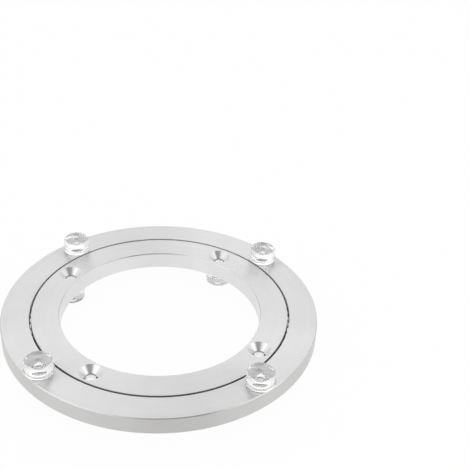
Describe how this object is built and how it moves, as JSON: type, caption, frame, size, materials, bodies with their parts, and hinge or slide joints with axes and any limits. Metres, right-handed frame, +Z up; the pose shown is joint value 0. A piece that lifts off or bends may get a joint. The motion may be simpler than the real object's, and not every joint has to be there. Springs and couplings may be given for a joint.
{
  "type": "lazy susan bearing",
  "caption": "Flat round turntable bearing: flush inner and outer aluminium rings turning on steel balls, with countersunk screw holes and clear soft pads above and below.",
  "frame": {"origin": "on the axis of rotation, in the plane of the feet's undersides", "axes": "+Z up along the axis of rotation; +X to the right in the picture's view, -Y towards the viewer"},
  "size_m": [0.14, 0.14, 0.0198],
  "materials": {
    "ring_aluminium": "satin, finely turned",
    "pin_steel": "ground flush with the ring",
    "ball_steel": "polished",
    "clear_pad": "clear, glossy, soft"
  },
  "bodies": {
    "base": {"inner_ring": "ring_aluminium", "filler_plug": "ring_aluminium", "plug_pin": "pin_steel", "foot_pad_1": "clear_pad", "foot_pad_2": "clear_pad", "foot_pad_3": "clear_pad", "foot_pad_4": "clear_pad"},
    "turntable": {"outer_ring": "ring_aluminium", "top_pad_1": "clear_pad", "top_pad_2": "clear_pad", "top_pad_3": "clear_pad", "top_pad_4": "clear_pad"},
    "ball_train": {"bearing_balls": "ball_steel"}
  },
  "joints": [
    {"name": "turntable_spin", "type": "hinge", "parent": "base", "child": "turntable", "pos_m": [0, 0, 0], "axis": [0, 0, 1], "continuous": true},
    {"name": "ball_orbit", "type": "hinge", "parent": "base", "child": "ball_train", "pos_m": [0, 0, 0], "axis": [0, 0, 1], "continuous": true}
  ],
  "couplings": [
    {"joint": "ball_orbit", "follows": "turntable_spin", "ratio": 0.51747}
  ]
}
